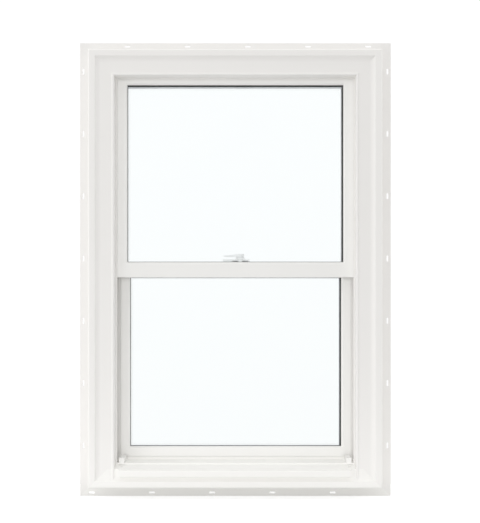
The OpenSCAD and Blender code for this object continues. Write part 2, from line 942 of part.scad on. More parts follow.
module coil_screw_holes() {
    for (mid = [upper_mid_y, lower_mid_y])
        translate([-half_w, mid, coil_screw_z]) rotate([0, 90, 0])
            cylinder(r = screw_hole_r, h = 3 * wall, center = true, $fn = 24);
}

// Screws from the coil housings into the jambs' outer walls, their heads sunk
module coil_box_screws() {
    head_u = pocket_out - screw_head_h - fit;
    color(steel) for (side = [-1, 1]) on_side(side) for (mid = [upper_mid_y, lower_mid_y])
        translate([-half_w, mid, coil_screw_z]) rotate([0, 90, 0]) {
            translate([0, 0, head_u]) cylinder(r = screw_head_r, h = screw_head_h, $fn = 24);
            translate([0, 0, 0.5]) cylinder(r = screw_r, h = head_u, $fn = 24);
        }
}

// ---------- tilt latches ----------

// Spring bolt: a flat tongue from the rail's end with a thumb piece in the bezel
module latch(side, y, top) {
    mid = y + sash_t / 2;
    thumb_x = -sash_half + bezel_in + bezel_rim + 1.3;
    color(nylon) on_side(side) {
        span_box(
            [-sash_half - bolt_out, mid - bolt_w / 2, top - bolt_drop - bolt_h / 2],
            [thumb_x + thumb_l + 2, mid + bolt_w / 2, top - bolt_drop + bolt_h / 2]);
        span_box(
            [thumb_x, mid - thumb_w / 2, top - bolt_drop],
            [thumb_x + thumb_l, mid + thumb_w / 2, top + 0.2]);
    }
}

module upper_latch(side) {
    latch(side, upper_y, upper_top);
}

module lower_latch(side) {
    latch(side, lower_y, meet_z);
}

// Bezel round the latch's slot: a rim on the rail and a collar down through it
module latch_bezel(side, y, top, proud) {
    mid = y + sash_t / 2;
    low = -sash_half + bezel_in;
    high = low + bezel_l;
    color(nylon) on_side(side) difference() {
        union() {
            span_box([low, mid - bezel_w / 2, top], [high, mid + bezel_w / 2, top + proud]);
            span_box(
                [low + bezel_rim, mid - thumb_w / 2 - 0.8, top - wall],
                [high - bezel_rim, mid + thumb_w / 2 + 0.8, top + proud]);
        }
        span_box(
            [low + bezel_rim + 1, mid - thumb_w / 2 - fit, top - wall - 1],
            [high - bezel_rim - 1, mid + thumb_w / 2 + fit, top + proud + 1]);
    }
}

module upper_latch_bezel(side) {
    latch_bezel(side, upper_y, upper_top, 0.6);
}

module lower_latch_bezel(side) {
    latch_bezel(side, lower_y, meet_z, 1.6);
}

// ---------- cam lock ----------

module lock_housing() {
    color(zinc) difference() {
        union() {
            span_box([lock_low, lock_front, meet_z], [lock_high, lock_front + lock_d, meet_z + lock_h]);
            span_box(
                [lock_low - flange_out, lock_mid_y - flange_w / 2, meet_z],
                [lock_high + flange_out, lock_mid_y + flange_w / 2, meet_z + flange_t]);
            translate([lock_x, lock_y + 3, meet_z + lock_h])
                cylinder(r1 = 12, r2 = 9, h = boss_h, $fn = 48);
        }
        translate([lock_x, lock_y, meet_z - 1])
            cylinder(r = cam_r + cam_w + 0.6, h = 1 + cam_lift + cam_t + 0.6, $fn = 96);
        translate([lock_x, lock_y, meet_z]) cylinder(r = spindle_r + 0.1, h = 40, $fn = 48);
        for (x = lock_screw_x) translate([x, lock_mid_y, meet_z - 1])
            cylinder(r = screw_hole_r, h = 10, $fn = 24);
    }
}

// Lever, spindle and cam, with the lever to the left when unlocked
module lock_lever() {
    hub_z = meet_z + lock_h + boss_h + fit;
    color(zinc) {
        translate([lock_x, lock_y, meet_z + cam_lift]) {
            cylinder(r = spindle_r, h = lock_h + boss_h + fit, $fn = 48);
            cam();
        }
        translate([lock_x, lock_y, hub_z]) {
            cylinder(r = hub_r, h = hub_h, $fn = 48);
            lever_arm();
        }
    }
}

// Arm that narrows and thins towards its round tip
module lever_arm() {
    tip = -lever_l + tip_r;
    intersection() {
        linear_extrude(hub_h) {
            polygon([[0, -arm_w / 2], [0, arm_w / 2], [tip, tip_r], [tip, -tip_r]]);
            translate([tip, 0]) circle(r = tip_r, $fn = 48);
        }
        rotate([90, 0, 0]) linear_extrude(2 * hub_r, center = true)
            polygon([
                [1, 0.8], [1, hub_h - 0.5], [-hub_r, hub_h - 0.5], [-lever_l - 1, 3],
                [-lever_l - 1, 0.8]
            ]);
    }
}

// Sector of a plan circle between two angles from the indoor direction, positive to the left
module sector(from, to, r, h) {
    far = 2 * r;
    linear_extrude(h) intersection() {
        circle(r = r, $fn = 96);
        polygon([
            [0, 0], [-far * sin(from), far * cos(from)],
            [-far * sin((from + to) / 2), far * cos((from + to) / 2)], [-far * sin(to), far * cos(to)]
        ]);
    }
}

// Crescent whose leading end slips behind the keeper's lip, on a web at its trailing end
module cam() {
    difference() {
        sector(-cam_lead, cam_trail, cam_r + cam_w, cam_t);
        translate([0, 0, -1]) cylinder(r = cam_r, h = cam_t + 2, $fn = 96);
    }
    rotate([0, 0, cam_trail - 11]) translate([-2.5, 0, 0]) cube([5, cam_r + 0.6, cam_t]);
}

module screw_pair(xs, y, z, length) {
    for (x = xs) translate([x, y, z]) {
        cylinder(r1 = screw_head_r, r2 = screw_head_r - 0.6, h = screw_head_h, $fn = 24);
        translate([0, 0, -length]) cylinder(r = screw_r, h = length + 0.5, $fn = 24);
    }
}

module lock_screws() {
    color(steel) screw_pair(lock_screw_x, lock_mid_y, meet_z + flange_t, 10);
}

// Base plate with a curved lip, behind which the cam closes
module keeper() {
    color(zinc) difference() {
        union() {
            span_box(
                [lock_x - keeper_half, keeper_y - keeper_w / 2, meet_z],
                [lock_x + keeper_half, keeper_y + keeper_w / 2, meet_z + keeper_t]);
            translate([lock_x, lock_y, meet_z + keeper_t - 0.5]) rotate([0, 0, 180]) difference() {
                sector(-16, 14, cam_r - 0.5, keeper_lip_h + 0.5);
                translate([0, 0, -1]) cylinder(r = cam_r - 2.3, h = keeper_lip_h + 3, $fn = 96);
            }
        }
        for (x = keeper_screw_x) translate([x, keeper_y, meet_z - 1])
            cylinder(r = screw_hole_r, h = 10, $fn = 24);
    }
}

module keeper_screws() {
    color(steel) screw_pair(keeper_screw_x, keeper_y, meet_z + keeper_t, 10);
}

frame_head();
frame_jamb(-1);  // frame_left_jamb
frame_jamb(1);  // frame_right_jamb
frame_sill();
sill_end_blocks();
upper_top_rail();
upper_check_rail();
upper_stile(-1);  // upper_left_stile
upper_stile(1);  // upper_right_stile
outer_pane(upper_sight(), upper_y);  // upper_outer_pane
inner_pane(upper_sight(), upper_y);  // upper_inner_pane
spacer(upper_sight(), upper_y);  // upper_spacer
edge_seal(upper_sight(), upper_y);  // upper_edge_seal
glazing_tape(upper_sight(), upper_y);  // upper_glazing_tape
upper_glazing_beads();
upper_pile_strips();
pivot_bars(upper_mid_y, upper_bar_z);  // upper_pivot_bars
upper_shoe(-1);  // upper_left_shoe
upper_shoe(1);  // upper_right_shoe
ribbon(-1, upper_mid_y, upper_bar_z);  // upper_left_ribbon
ribbon(1, upper_mid_y, upper_bar_z);  // upper_right_ribbon
coil(-1, upper_mid_y);  // upper_left_coil
coil(1, upper_mid_y);  // upper_right_coil
upper_coil_box(-1);  // upper_left_coil_box
upper_coil_box(1);  // upper_right_coil_box
upper_latch(-1);  // upper_left_latch
upper_latch(1);  // upper_right_latch
upper_latch_bezel(-1);  // upper_left_latch_bezel
upper_latch_bezel(1);  // upper_right_latch_bezel
keeper();
keeper_screws();
lower_meeting_rail();
lower_bottom_rail();
lower_stile(-1);  // lower_left_stile
lower_stile(1);  // lower_right_stile
outer_pane(lower_sight(), lower_y);  // lower_outer_pane
inner_pane(lower_sight(), lower_y);  // lower_inner_pane
spacer(lower_sight(), lower_y);  // lower_spacer
edge_seal(lower_sight(), lower_y);  // lower_edge_seal
glazing_tape(lower_sight(), lower_y);  // lower_glazing_tape
lower_glazing_beads();
lower_pile_strips();
pivot_bars(lower_mid_y, lower_bar_z);  // lower_pivot_bars
lower_shoe(-1);  // lower_left_shoe
lower_shoe(1);  // lower_right_shoe
ribbon(-1, lower_mid_y, lower_bar_z);  // lower_left_ribbon
ribbon(1, lower_mid_y, lower_bar_z);  // lower_right_ribbon
coil(-1, lower_mid_y);  // lower_left_coil
coil(1, lower_mid_y);  // lower_right_coil
lower_coil_box(-1);  // lower_left_coil_box
lower_coil_box(1);  // lower_right_coil_box
lower_latch(-1);  // lower_left_latch
lower_latch(1);  // lower_right_latch
lower_latch_bezel(-1);  // lower_left_latch_bezel
lower_latch_bezel(1);  // lower_right_latch_bezel
lock_housing();
lock_lever();
lock_screws();
sill_bulb_seal();
coil_box_screws();
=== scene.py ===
"""The looks of a double-hung sash window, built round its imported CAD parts.

Each sub-assembly is a class: it dresses its CAD members in the finish of the real thing and adds
the small pieces whose look the plain solids cannot give, such as wound springs and brush strips.
All lengths are in metres, in the frame of the CAD parts: X across, Y indoors, Z up.
"""

import logging
import math
from dataclasses import dataclass, field
from enum import Enum
from typing import Any, Iterable, Sequence

import bmesh
import bpy
import numpy as np
from mathutils import Matrix, Vector

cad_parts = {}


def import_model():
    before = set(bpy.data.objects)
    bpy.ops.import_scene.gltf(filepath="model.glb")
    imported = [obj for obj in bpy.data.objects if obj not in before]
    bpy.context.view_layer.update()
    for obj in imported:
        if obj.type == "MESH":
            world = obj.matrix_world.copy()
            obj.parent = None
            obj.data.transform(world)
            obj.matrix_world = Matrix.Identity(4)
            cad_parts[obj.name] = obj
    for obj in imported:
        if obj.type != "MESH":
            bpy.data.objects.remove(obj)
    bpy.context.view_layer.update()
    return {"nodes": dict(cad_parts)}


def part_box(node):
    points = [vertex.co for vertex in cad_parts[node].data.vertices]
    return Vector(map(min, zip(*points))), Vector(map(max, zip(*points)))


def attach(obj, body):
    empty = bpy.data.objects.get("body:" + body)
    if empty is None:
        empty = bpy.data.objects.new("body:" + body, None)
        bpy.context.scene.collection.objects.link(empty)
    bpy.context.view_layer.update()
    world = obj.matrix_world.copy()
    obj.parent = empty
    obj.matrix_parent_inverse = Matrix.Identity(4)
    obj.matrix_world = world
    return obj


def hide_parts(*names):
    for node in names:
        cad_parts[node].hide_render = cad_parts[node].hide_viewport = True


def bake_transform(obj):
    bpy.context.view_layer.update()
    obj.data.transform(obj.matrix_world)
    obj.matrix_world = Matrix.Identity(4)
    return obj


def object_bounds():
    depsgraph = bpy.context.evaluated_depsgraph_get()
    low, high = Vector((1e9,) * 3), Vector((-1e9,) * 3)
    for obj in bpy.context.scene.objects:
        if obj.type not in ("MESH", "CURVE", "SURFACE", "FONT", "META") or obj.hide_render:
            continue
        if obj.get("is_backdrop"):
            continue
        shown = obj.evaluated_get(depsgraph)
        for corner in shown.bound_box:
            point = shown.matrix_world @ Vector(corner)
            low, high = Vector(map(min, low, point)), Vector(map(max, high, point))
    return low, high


MM = 0.001
LOG = logging.getLogger("sash_window")
MeshParts = tuple[list[tuple[float, ...]], list[tuple[int, ...]]]
Socket = bpy.types.NodeSocket
Tree = bpy.types.NodeTree


class Run(Enum):
    """The direction a section was extruded, drawn or rolled in."""

    X = 0
    Y = 1
    Z = 2


class Side(Enum):
    """The two sides of the window, as seen from outdoors."""

    LEFT = -1
    RIGHT = 1

    @property
    def word(self) -> str:
        """The side's name as the CAD nodes spell it."""
        return self.name.lower()


# ---------- small helpers ----------


def linear(code: str) -> tuple[float, float, float, float]:
    """Turn an sRGB hex colour into linear light.

    Args:
        code: six hex digits after a hash, such as "#ebe9e6".

    Returns:
        Red, green, blue and an alpha of 1.
    """
    parts = [int(code[i : i + 2], 16) / 255 for i in (1, 3, 5)]
    light = [c / 12.92 if c <= 0.04045 else ((c + 0.055) / 1.055) ** 2.4 for c in parts]
    return (light[0], light[1], light[2], 1.0)


def add_node(
    tree: Tree, kind: str, inputs: dict[Any, Any] | None = None, **settings: Any
) -> bpy.types.Node:
    """Add one node with its settings and links.

    Args:
        tree: the node tree it goes into.
        kind: Blender's name for the node type.
        inputs: socket name or number to a value, or to another node's output to link.
        settings: properties of the node itself.

    Returns:
        The new node.
    """
    node = tree.nodes.new(kind)
    for name, value in settings.items():
        setattr(node, name, value)
    for name, value in (inputs or {}).items():
        if isinstance(value, Socket):
            tree.links.new(value, node.inputs[name])
        else:
            node.inputs[name].default_value = value
    return node


def math_node(tree: Tree, kind: str, *terms: Any) -> Socket:
    """Do one step of arithmetic on numbers or sockets."""
    return add_node(tree, "ShaderNodeMath", dict(enumerate(terms)), operation=kind).outputs[0]


def ramp(
    tree: Tree, value: Socket, span: tuple[float, float], start: Any, end: Any, soft: bool = False
) -> Socket:
    """Turn a value within a span into one between two others.

    Args:
        tree: the node tree.
        value: what is measured.
        span: the values at which the result starts and stops changing.
        start: the result below the span.
        end: the result above the span.
        soft: whether the change eases in and out.

    Returns:
        The result's socket.
    """
    ends = {"Value": value, 1: span[0], 2: span[1], 3: start, 4: end}
    easing = "SMOOTHSTEP" if soft else "LINEAR"
    return add_node(tree, "ShaderNodeMapRange", ends, interpolation_type=easing).outputs[0]


def seen_by_eye(tree: Tree) -> Socket:
    """Give 1 for rays that reach the eye straight or through glass, and 0 for light on its way."""
    path = add_node(tree, "ShaderNodeLightPath").outputs
    return math_node(tree, "MAXIMUM", path["Is Camera Ray"], path["Is Transmission Ray"])


def mesh_object(
    name: str, verts: Sequence[Sequence[float]], faces: Sequence[Sequence[int]]
) -> bpy.types.Object:
    """Make a mesh object in the scene.

    Args:
        name: the piece's name.
        verts: corner positions in metres.
        faces: corner numbers of each face.

    Returns:
        The new object, with its normals turned outwards.
    """
    mesh = bpy.data.meshes.new(name)
    mesh.from_pydata([tuple(v) for v in verts], [], [tuple(f) for f in faces])
    work = bmesh.new()
    work.from_mesh(mesh)
    bmesh.ops.recalc_face_normals(work, faces=work.faces)
    work.to_mesh(mesh)
    work.free()
    piece = bpy.data.objects.new(name, mesh)
    bpy.context.scene.collection.objects.link(piece)
    return piece


def box_mesh(low: Sequence[float], high: Sequence[float]) -> MeshParts:
    """Give the corners and faces of a box between two corners."""
    xs, ys, zs = zip(low, high)
    verts = [(x, y, z) for x in xs for y in ys for z in zs]
    faces = [(0, 1, 3, 2), (4, 6, 7, 5), (0, 4, 5, 1), (2, 3, 7, 6), (0, 2, 6, 4), (1, 5, 7, 3)]
    return verts, faces


def merge(parts: Iterable[MeshParts]) -> MeshParts:
    """Join several vertex and face lists into one.

    Args:
        parts: pairs of vertices and faces.

    Returns:
        One vertex list and one face list.
    """
    verts: list = []
    faces: list = []
    for some_verts, some_faces in parts:
        base = len(verts)
        verts.extend(some_verts)
        faces.extend([tuple(i + base for i in face) for face in some_faces])
    return verts, faces


# ---------- finishes ----------


@dataclass(frozen=True)
class Weld:
    """A mitre welded at 45 degrees: where its outer end lies, and whether that is its top."""

    half: float
    level: float
    above: bool


@dataclass(frozen=True)
class Finish:
    """A real material and how its surface was made.

    The subclasses say what pattern the making leaves. Colours are sRGB hex: most of the surface has
    the first, and the second shows where the pattern is strongest. The roughness varies both ways
    by the next number. Relief is the pattern's depth, fine and long are its sizes across and along
    the run, patch is the size of its broad changes, and groove is how many reliefs a weld is sunk.
    """

    name: str
    colour: str
    shade: str
    roughness: float
    vary: float
    ior: float = 1.5
    metallic: float = 0.0
    relief: float = 0.01 * MM
    fine: float = 1.2 * MM
    long: float = 120 * MM
    patch: float = 90 * MM
    groove: float = -9.0

    def scale(self, run: Run) -> tuple[float, float, float]:
        """Pattern repeats per metre along each axis, long along the run and fine across it."""
        fine, long = 1 / self.fine, 1 / self.long
        return tuple(long if i == run.value else fine for i in range(3))

    def pattern(self, tree: Tree, place: Socket) -> Socket:
        """The surface's own fine pattern, from 0 to 1, at a place already scaled to it."""
        noise = add_node(tree, "ShaderNodeTexNoise", {"Vector": place, "Scale": 1.0, "Detail": 2.0})
        return noise.outputs["Fac"]

    def tune(self, tree: Tree, shader: bpy.types.Node) -> None:
        """Set what only this kind of surface has, on the shader's own sockets."""

    def surface(self, tree: Tree, shader: bpy.types.Node) -> Socket:
        """What the material's output shows: the shader itself, unless light passes through it."""
        return shader.outputs[0]

    def material(self, run: Run = Run.Z, welds: Sequence[Weld] = ()) -> bpy.types.Material:
        """Make the material, or give back the one made before.

        Args:
            run: the direction the piece was extruded or drawn in.
            welds: the mitre welds that cross the piece.

        Returns:
            The material with its nodes.
        """
        name = f"{self.name}_{run.name.lower()}" + ("_welded" if welds else "")
        name += "".join(f"_{round(w.level * 1000)}" for w in welds)
        if name in bpy.data.materials:
            return bpy.data.materials[name]
        made = bpy.data.materials.new(name)
        made.use_nodes = True
        tree = made.node_tree
        tree.nodes.clear()
        place = add_node(tree, "ShaderNodeTexCoord").outputs["Object"]
        stretched = add_node(
            tree, "ShaderNodeMapping", {"Vector": place, "Scale": self.scale(run)}
        ).outputs["Vector"]
        fine = self.pattern(tree, stretched)
        # handling and cooling leave broad, soft patches about a hand wide
        broad = add_node(
            tree, "ShaderNodeTexNoise", {"Vector": place, "Scale": 1 / self.patch, "Detail": 1.0}
        ).outputs["Fac"]
        both = math_node(tree, "MULTIPLY", fine, broad)
        shades = {"Factor": both, "A": linear(self.colour), "B": linear(self.shade)}
        colour = add_node(tree, "ShaderNodeMix", shades, data_type="RGBA")
        tint = next(s for s in colour.outputs if s.type == "RGBA")
        shiny, dull = self.roughness - self.vary, self.roughness + self.vary
        rough = ramp(tree, broad, (0.3, 0.7), shiny, dull)
        height = fine
        for weld in welds:
            height = self.weld_groove(tree, place, height, weld)
        bump = add_node(
            tree, "ShaderNodeBump", {"Height": height, "Distance": self.relief, "Strength": 1.0}
        ).outputs["Normal"]
        shader = add_node(
            tree,
            "ShaderNodeBsdfPrincipled",
            {"Base Color": tint, "Roughness": rough, "Normal": bump, "Metallic": self.metallic},
        )
        if not self.metallic:
            shader.inputs["IOR"].default_value = self.ior
        self.tune(tree, shader)
        add_node(tree, "ShaderNodeOutputMaterial", {"Surface": self.surface(tree, shader)})
        return made

    def weld_groove(self, tree: Tree, place: Socket, height: Socket, weld: Weld) -> Socket:
        """Sink the surface along a welded mitre, whose bead is shaved off to a groove 1 mm wide.

        Args:
            tree: the material's tree.
            place: the position on the object.
            height: the surface's height so far.
            weld: which mitre.

        Returns:
            The height with the groove in it.
        """

        split = add_node(tree, "ShaderNodeSeparateXYZ", {0: place}).outputs
        across = math_node(tree, "SUBTRACT", weld.half, math_node(tree, "ABSOLUTE", split[0]))
        ends = (weld.level, split[2]) if weld.above else (split[2], weld.level)
        along = math_node(tree, "SUBTRACT", *ends)
        apart = math_node(tree, "ABSOLUTE", math_node(tree, "SUBTRACT", across, along))
        groove = ramp(tree, apart, (0.2 * MM, 1.0 * MM), self.groove, 0.0)
        return math_node(tree, "ADD", height, groove)


@dataclass(frozen=True)
class Extruded(Finish):
    """Pulled through a die: faint lines along its length catch the light as a soft streak."""


@dataclass(frozen=True)
class Moulded(Finish):
    """Injection moulded in a lightly spark-eroded tool: an even, very fine grain."""

    def scale(self, run: Run) -> tuple[float, float, float]:
        """The grain is the same in every direction."""
        return (1 / self.fine,) * 3


@dataclass(frozen=True)
class PowderCoated(Finish):
    """Powder melted onto a casting: slow ripples like orange peel under a clear gloss."""

    def scale(self, run: Run) -> tuple[float, float, float]:
        """The ripples are the same in every direction."""
        return (1 / self.fine,) * 3

    def tune(self, tree: Tree, shader: bpy.types.Node) -> None:
        """The melted skin is smoother than the pigment under it."""
        shader.inputs["Coat Weight"].default_value = 0.3
        shader.inputs["Coat Roughness"].default_value = 0.15


@dataclass(frozen=True)
class Drawn(Finish):
    """Rolled or drawn metal: hairline scratches along its length."""


@dataclass(frozen=True)
class Cellular(Finish):
    """Foamed or gunned rubber: shallow pores that break up its dull skin."""

    def scale(self, run: Run) -> tuple[float, float, float]:
        """The pores are the same in every direction."""
        return (1 / self.fine,) * 3

    def pattern(self, tree: Tree, place: Socket) -> Socket:
        """Distance from each pore's middle."""
        pores = add_node(tree, "ShaderNodeTexVoronoi", {"Vector": place, "Scale": 1.0})
        return pores.outputs["Distance"]


@dataclass(frozen=True)
class FloatGlass(Finish):
    """Soda-lime glass floated on tin: flat, clear, faintly blue-green through its thickness."""

    clear: tuple[float, float, float, float] = (0.985, 0.99, 0.992, 1.0)

    def tune(self, tree: Tree, shader: bpy.types.Node) -> None:
        """Light passes through it."""
        shader.inputs["Transmission Weight"].default_value = 1.0

    def surface(self, tree: Tree, shader: bpy.types.Node) -> Socket:
        """Let the lamps and the soft light reach what is behind the pane without a detour."""
        path = add_node(tree, "ShaderNodeLightPath").outputs
        through = math_node(tree, "MAXIMUM", path["Is Shadow Ray"], path["Is Diffuse Ray"])
        clear = add_node(tree, "ShaderNodeBsdfTransparent", {"Color": self.clear}).outputs[0]
        parts = {0: through, 1: shader.outputs[0], 2: clear}
        return add_node(tree, "ShaderNodeMixShader", parts).outputs[0]


@dataclass(frozen=True)
class LitOpal(Finish):
    """Opal acrylic with a lamp behind it, which lights the eye more than it lights the room."""

    cast: float = 0.02
    glow: float = 0.6

    def tune(self, tree: Tree, shader: bpy.types.Node) -> None:
        """It gives some light of its own."""
        shader.inputs["Emission Color"].default_value = (1.0, 1.0, 1.0, 1.0)
        level = ramp(tree, seen_by_eye(tree), (0.0, 1.0), self.cast, self.glow)
        tree.links.new(level, shader.inputs["Emission Strength"])


@dataclass(frozen=True)
class PileFibre(Finish):
    """Polypropylene fibre: many fine ends that scatter light softly."""

    def tune(self, tree: Tree, shader: bpy.types.Node) -> None:
        """Fibre ends glow a little at a glancing angle."""
        shader.inputs["Sheen Weight"].default_value = 0.4
        shader.inputs["Sheen Roughness"].default_value = 0.5


# Rigid vinyl (PVC) with white pigment, calendered in the die to a satin skin: slightly warm white
# with a soft sheen and die lines about a millimetre apart that only show where light grazes.
FRAME_VINYL = Extruded(
    "extruded_white_vinyl", "#f3f1ee", "#eeece8", 0.38, 0.05,
    ior=1.53, relief=0.006 * MM,
)
# The sill is the same vinyl with a slightly rougher skin; its colour is painted a little brighter,
# standing in for the light from above on its up-facing slopes.
SILL_VINYL_PAINTED_LIGHT = Extruded(
    "extruded_white_vinyl_sill", "#f7f6f2", "#f2f0ec", 0.42, 0.05,
    ior=1.53, relief=0.006 * MM,
)
# Sash sections are thinner and cool faster, so their skin is a touch glossier; their colour is
# painted a touch brighter than the frame's, standing in for light that lifts the recessed sash out
# of its shade.
SASH_VINYL_PAINTED_LIGHT = Extruded(
    "extruded_white_vinyl_sash", "#f4f3f0", "#efeeea", 0.34, 0.04,
    ior=1.53, relief=0.005 * MM,
)
# Float glass: the tin bath leaves it flat, so only a very slow roller wave moves the reflections.
GLASS = FloatGlass(
    "float_glass", "#fcfefe", "#fbfdfe", 0.012, 0.008,
    ior=1.52, relief=0.0005 * MM, fine=180 * MM, long=400 * MM,
)
# Roll-formed aluminium spacer bar: dull silver with lengthwise roll marks.
SPACER = Drawn(
    "roll_formed_aluminium", "#c9cbcd", "#b6b8bb", 0.42, 0.06,
    metallic=1.0, fine=0.5 * MM, relief=0.01 * MM,
)
# Gunned polysulphide sealant: black, dull and a little uneven from the nozzle.
SEALANT = Cellular(
    "polysulphide_sealant", "#28282a", "#363637", 0.62, 0.08,
    ior=1.55, fine=3 * MM, relief=0.08 * MM,
)
# Co-extruded soft vinyl gasket: dull, with fine pores; its dark grey is partly the gasket's own
# colour and partly painted shade of the gap between sash leg and glass.
GASKET_AND_PAINTED_SHADE = Cellular(
    "soft_vinyl_gasket_and_gap_shade", "#3b3b3b", "#4a4a49", 0.6, 0.07,
    ior=1.5, fine=1.2 * MM, relief=0.03 * MM,
)
# Bulb seal of flexible vinyl: grey and slightly waxy.
BULB = Extruded(
    "flexible_vinyl_bulb", "#77787a", "#6a6b6c", 0.5, 0.06,
    ior=1.5, fine=0.8 * MM, relief=0.01 * MM,
)
# Woven pile of polypropylene fibre: mid grey, with light fibre tips.
PILE = PileFibre(
    "polypropylene_pile", "#9b9b98", "#7d7d7a", 0.85, 0.06,
    ior=1.49, fine=0.5 * MM, long=0.5 * MM, relief=0.05 * MM,
)
# Injection-moulded acetal for latches: clean white, smooth and a little glossy.
ACETAL = Moulded(
    "moulded_white_acetal", "#f6f5f2", "#f0efeb", 0.3, 0.05,
    ior=1.48, fine=0.4 * MM, relief=0.006 * MM,
)
# Moulded nylon for balance shoes and spring housings: milky, slightly yellow, dull.
NYLON = Moulded(
    "moulded_natural_nylon", "#d9d7cd", "#cfccc0", 0.5, 0.06,
    ior=1.53, fine=0.6 * MM, relief=0.012 * MM,
)
# Die-cast zinc under white polyester powder: glossy with a slow orange-peel ripple.
LOCK_COAT = PowderCoated(
    "powder_coated_zinc", "#fbfaf9", "#f6f5f3", 0.32, 0.05,
    ior=1.5, fine=2.5 * MM, relief=0.02 * MM,
)
# Cold-rolled stainless spring strip: bright, with hairlines along its length.
SPRING = Drawn(
    "rolled_spring_steel", "#b9bbbd", "#a4a6a9", 0.26, 0.06,
    metallic=1.0, fine=0.3 * MM, relief=0.004 * MM,
)
# Opal acrylic of the light table the window stands on: evenly lit from below.
OPAL = LitOpal(
    "lit_opal_acrylic", "#dcdcdc", "#dadada", 0.6, 0.05,
    ior=1.49, fine=2 * MM, relief=0.005 * MM,
)
# Zinc-plated steel screws and bars: bluish bright, a little cloudy.
PLATED = Moulded(
    "zinc_plated_steel", "#c3c6ca", "#aeb1b6", 0.33, 0.08,
    metallic=1.0, fine=1.5 * MM, relief=0.01 * MM,
)


@dataclass
class Dresser:
    """Gives CAD nodes and new pieces their finishes."""

    nodes: dict[str, bpy.types.Object]

    def paint(
        self, piece: bpy.types.Object, finish: Finish, run: Run = Run.Z, welds: Sequence[Weld] = ()
    ) -> None:
        """Put one finish on every slot of a piece.

        Args:
            piece: the object.
            finish: its finish.
            run: the direction it was extruded or drawn in.
            welds: the mitre welds that cross it.
        """
        made = finish.material(run, welds)
        if not piece.material_slots:
            piece.data.materials.append(made)
        for place in piece.material_slots:
            place.material = made

    def node(
        self, name: str, finish: Finish, run: Run = Run.Z, welds: Sequence[Weld] = ()
    ) -> None:
        """Put one finish on a CAD node, and let its round faces shade smoothly.

        Args:
            name: the node's name.
            finish: its finish.
            run: the direction it was extruded or drawn in.
            welds: the mitre welds that cross it.
        """
        piece = self.nodes[name]
        self.paint(piece, finish, run, welds)
        piece.data.polygons.foreach_set("use_smooth", [True] * len(piece.data.polygons))
        LOG.info("dressed %s in %s", name, finish.name)


# ---------- sub-assemblies ----------


@dataclass
class OuterFrame:
    """The welded frame with its casing and nailing fin, and what is fixed in it."""

    dress: Dresser

    def build(self) -> None:
        """Dress the four members, the weep covers and the sill's seal."""
        _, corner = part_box("frame_head")
        top = Weld(corner.x, corner.z, True)
        low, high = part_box("frame_sill")
        foot = Weld(high.x, low.z, False)
        self.dress.node("frame_head", FRAME_VINYL, Run.X, [top])
        for side in Side:
            self.dress.node(f"frame_{side.word}_jamb", FRAME_VINYL, Run.Z, [top, foot])
        self.dress.node("frame_sill", SILL_VINYL_PAINTED_LIGHT, Run.X, [foot])
        self.dress.node("sill_end_blocks", ACETAL, Run.X)
        self.dress.node("sill_bulb_seal", BULB, Run.X)


@dataclass
class Sash:
    """One glazed sash: four members, the sealed glass unit and its strips."""

    dress: Dresser
    which: str

    def build(self) -> None:
        """Dress the members, the glass unit and the seals."""
        if self.which == "upper":
            rails = ("top_rail", "check_rail")
            _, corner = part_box("upper_top_rail")
            weld = [Weld(corner.x, corner.z, True)]
        else:
            rails = ("bottom_rail", "meeting_rail")
            foot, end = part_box("lower_bottom_rail")
            weld = [Weld(end.x, foot.z, False)]
        for rail in rails:
            self.dress.node(f"{self.which}_{rail}", SASH_VINYL_PAINTED_LIGHT, Run.X, weld)
        for side in Side:
            self.dress.node(f"{self.which}_{side.word}_stile", SASH_VINYL_PAINTED_LIGHT, Run.Z, weld)
        self.dress.node(f"{self.which}_glazing_beads", SASH_VINYL_PAINTED_LIGHT, Run.Z)
        for pane in ("outer", "inner"):
            self.dress.node(f"{self.which}_{pane}_pane", GLASS, Run.X)
        self.dress.node(f"{self.which}_spacer", SPACER, Run.X)
        self.dress.node(f"{self.which}_edge_seal", SEALANT, Run.X)
        self.dress.node(f"{self.which}_glazing_tape", GASKET_AND_PAINTED_SHADE, Run.X)
        self.dress.node(f"{self.which}_pivot_bars", PLATED, Run.X)


